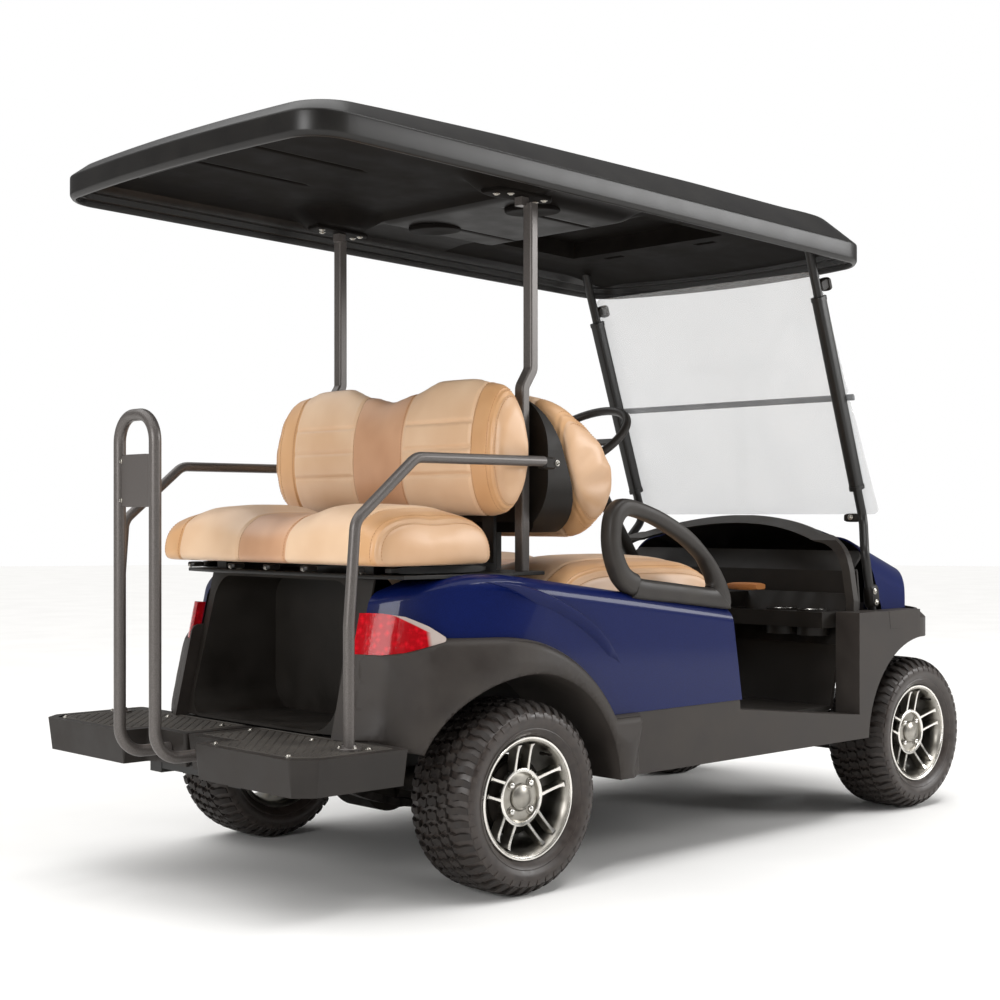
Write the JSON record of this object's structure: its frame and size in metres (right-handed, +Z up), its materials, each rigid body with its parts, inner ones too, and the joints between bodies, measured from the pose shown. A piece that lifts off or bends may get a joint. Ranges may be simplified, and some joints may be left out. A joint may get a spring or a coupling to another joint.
{
  "type": "golf cart",
  "caption": "Electric golf cart with a front bench, a rear-facing back bench over a bag well, a footrest with grab bar, a long roof and a folding windscreen.",
  "frame": {"origin": "on the floor, below the centre of the whole cart's bounding box", "axes": "+X forward, +Y to the driver's left, +Z up"},
  "size_m": [2.6459, 1.176, 1.772],
  "materials": {
    "paint_blue": "gloss navy metallic",
    "charcoal_moulding": "fine grain",
    "black_moulding": "fine grain",
    "roof_skin": "satin",
    "tube_coat": "satin powder coat",
    "frame_steel": "satin",
    "seat_hide": "stitched",
    "tyre_rubber": "matte",
    "rim_alloy": "machined",
    "axle_iron": "rough",
    "spring_steel": "dull",
    "screen_sheet": "clear",
    "lamp_red": "clear red",
    "lamp_clear": "clear",
    "wheel_grip": "soft touch",
    "battery_case": "smooth"
  },
  "bodies": {
    "chassis": {"chassis_frame": "frame_steel", "rear_axle": "axle_iron", "leaf_springs": "spring_steel", "front_axle": "axle_iron", "battery_pack": "battery_case", "rear_fenders": "charcoal_moulding", "body_sides": "paint_blue", "tail_lamps": "lamp_red", "bagwell": "black_moulding", "seat_deck": "black_moulding", "seat_pod": "black_moulding", "floor_pan": "black_moulding", "rocker_panels": "charcoal_moulding", "bumper": "charcoal_moulding", "front_cowl": "paint_blue", "dash_hoop": "black_moulding", "dash": "black_moulding", "headlamps": "lamp_clear", "front_posts": "tube_coat", "windshield_lower": "screen_sheet", "windshield_upper": "screen_sheet", "roof": "roof_skin", "rear_posts": "tube_coat", "front_seat_cushion": "seat_hide", "rear_seat_cushion": "seat_hide", "front_seat_back": "seat_hide", "rear_seat_back": "seat_hide", "seat_back_panel": "black_moulding", "seat_back_brackets": "frame_steel", "rear_seat_frame": "frame_steel", "armrests": "black_moulding", "hip_rails": "tube_coat", "footrest_pads": "charcoal_moulding", "footrest_frame": "frame_steel", "grab_bar": "tube_coat", "steering_column": "black_moulding", "pedals": "frame_steel"},
    "knuckle_right": {"knuckle_right": "axle_iron"},
    "knuckle_left": {"knuckle_left": "axle_iron"},
    "tie_rod": {"tie_rod": "spring_steel"},
    "steering_wheel": {"steering_wheel": "wheel_grip"},
    "wheel_front_right": {"tyre_front_right": "tyre_rubber", "rim_front_right": "rim_alloy"},
    "wheel_front_left": {"tyre_front_left": "tyre_rubber", "rim_front_left": "rim_alloy"},
    "wheel_rear_right": {"tyre_rear_right": "tyre_rubber", "rim_rear_right": "rim_alloy"},
    "wheel_rear_left": {"tyre_rear_left": "tyre_rubber", "rim_rear_left": "rim_alloy"}
  },
  "joints": [
    {"name": "steer_right", "type": "hinge", "parent": "chassis", "child": "knuckle_right", "pos_m": [1.043, -0.346, 0.226], "axis": [0, 0, 1], "range_deg": [-30, 30]},
    {"name": "steer_left", "type": "hinge", "parent": "chassis", "child": "knuckle_left", "pos_m": [1.043, 0.346, 0.226], "axis": [0, 0, 1], "range_deg": [-30.5, 30.5]},
    {"name": "steering_wheel_turn", "type": "hinge", "parent": "chassis", "child": "steering_wheel", "pos_m": [0.389, 0.262, 1.106], "axis": [-0.5878, 0, 0.809], "range_deg": [-430, 430]},
    {"name": "tie_rod_slide", "type": "slide", "parent": "chassis", "child": "tie_rod", "axis": [0, 1, 0], "range_m": [-0.05, 0.05]},
    {"name": "spin_front_right", "type": "hinge", "parent": "knuckle_right", "child": "wheel_front_right", "pos_m": [1.043, -0.451, 0.226], "axis": [0, 1, 0], "continuous": true},
    {"name": "spin_front_left", "type": "hinge", "parent": "knuckle_left", "child": "wheel_front_left", "pos_m": [1.043, 0.451, 0.226], "axis": [0, 1, 0], "continuous": true},
    {"name": "spin_rear_right", "type": "hinge", "parent": "chassis", "child": "wheel_rear_right", "pos_m": [-0.621, -0.482, 0.226], "axis": [0, 1, 0], "continuous": true},
    {"name": "spin_rear_left", "type": "hinge", "parent": "chassis", "child": "wheel_rear_left", "pos_m": [-0.621, 0.482, 0.226], "axis": [0, 1, 0], "continuous": true}
  ],
  "couplings": [
    {"joint": "steer_left", "follows": "steer_right", "ratio": 1},
    {"joint": "steering_wheel_turn", "follows": "steer_right", "ratio": 14},
    {"joint": "tie_rod_slide", "follows": "steer_right", "m_per_rad": -0.092}
  ]
}
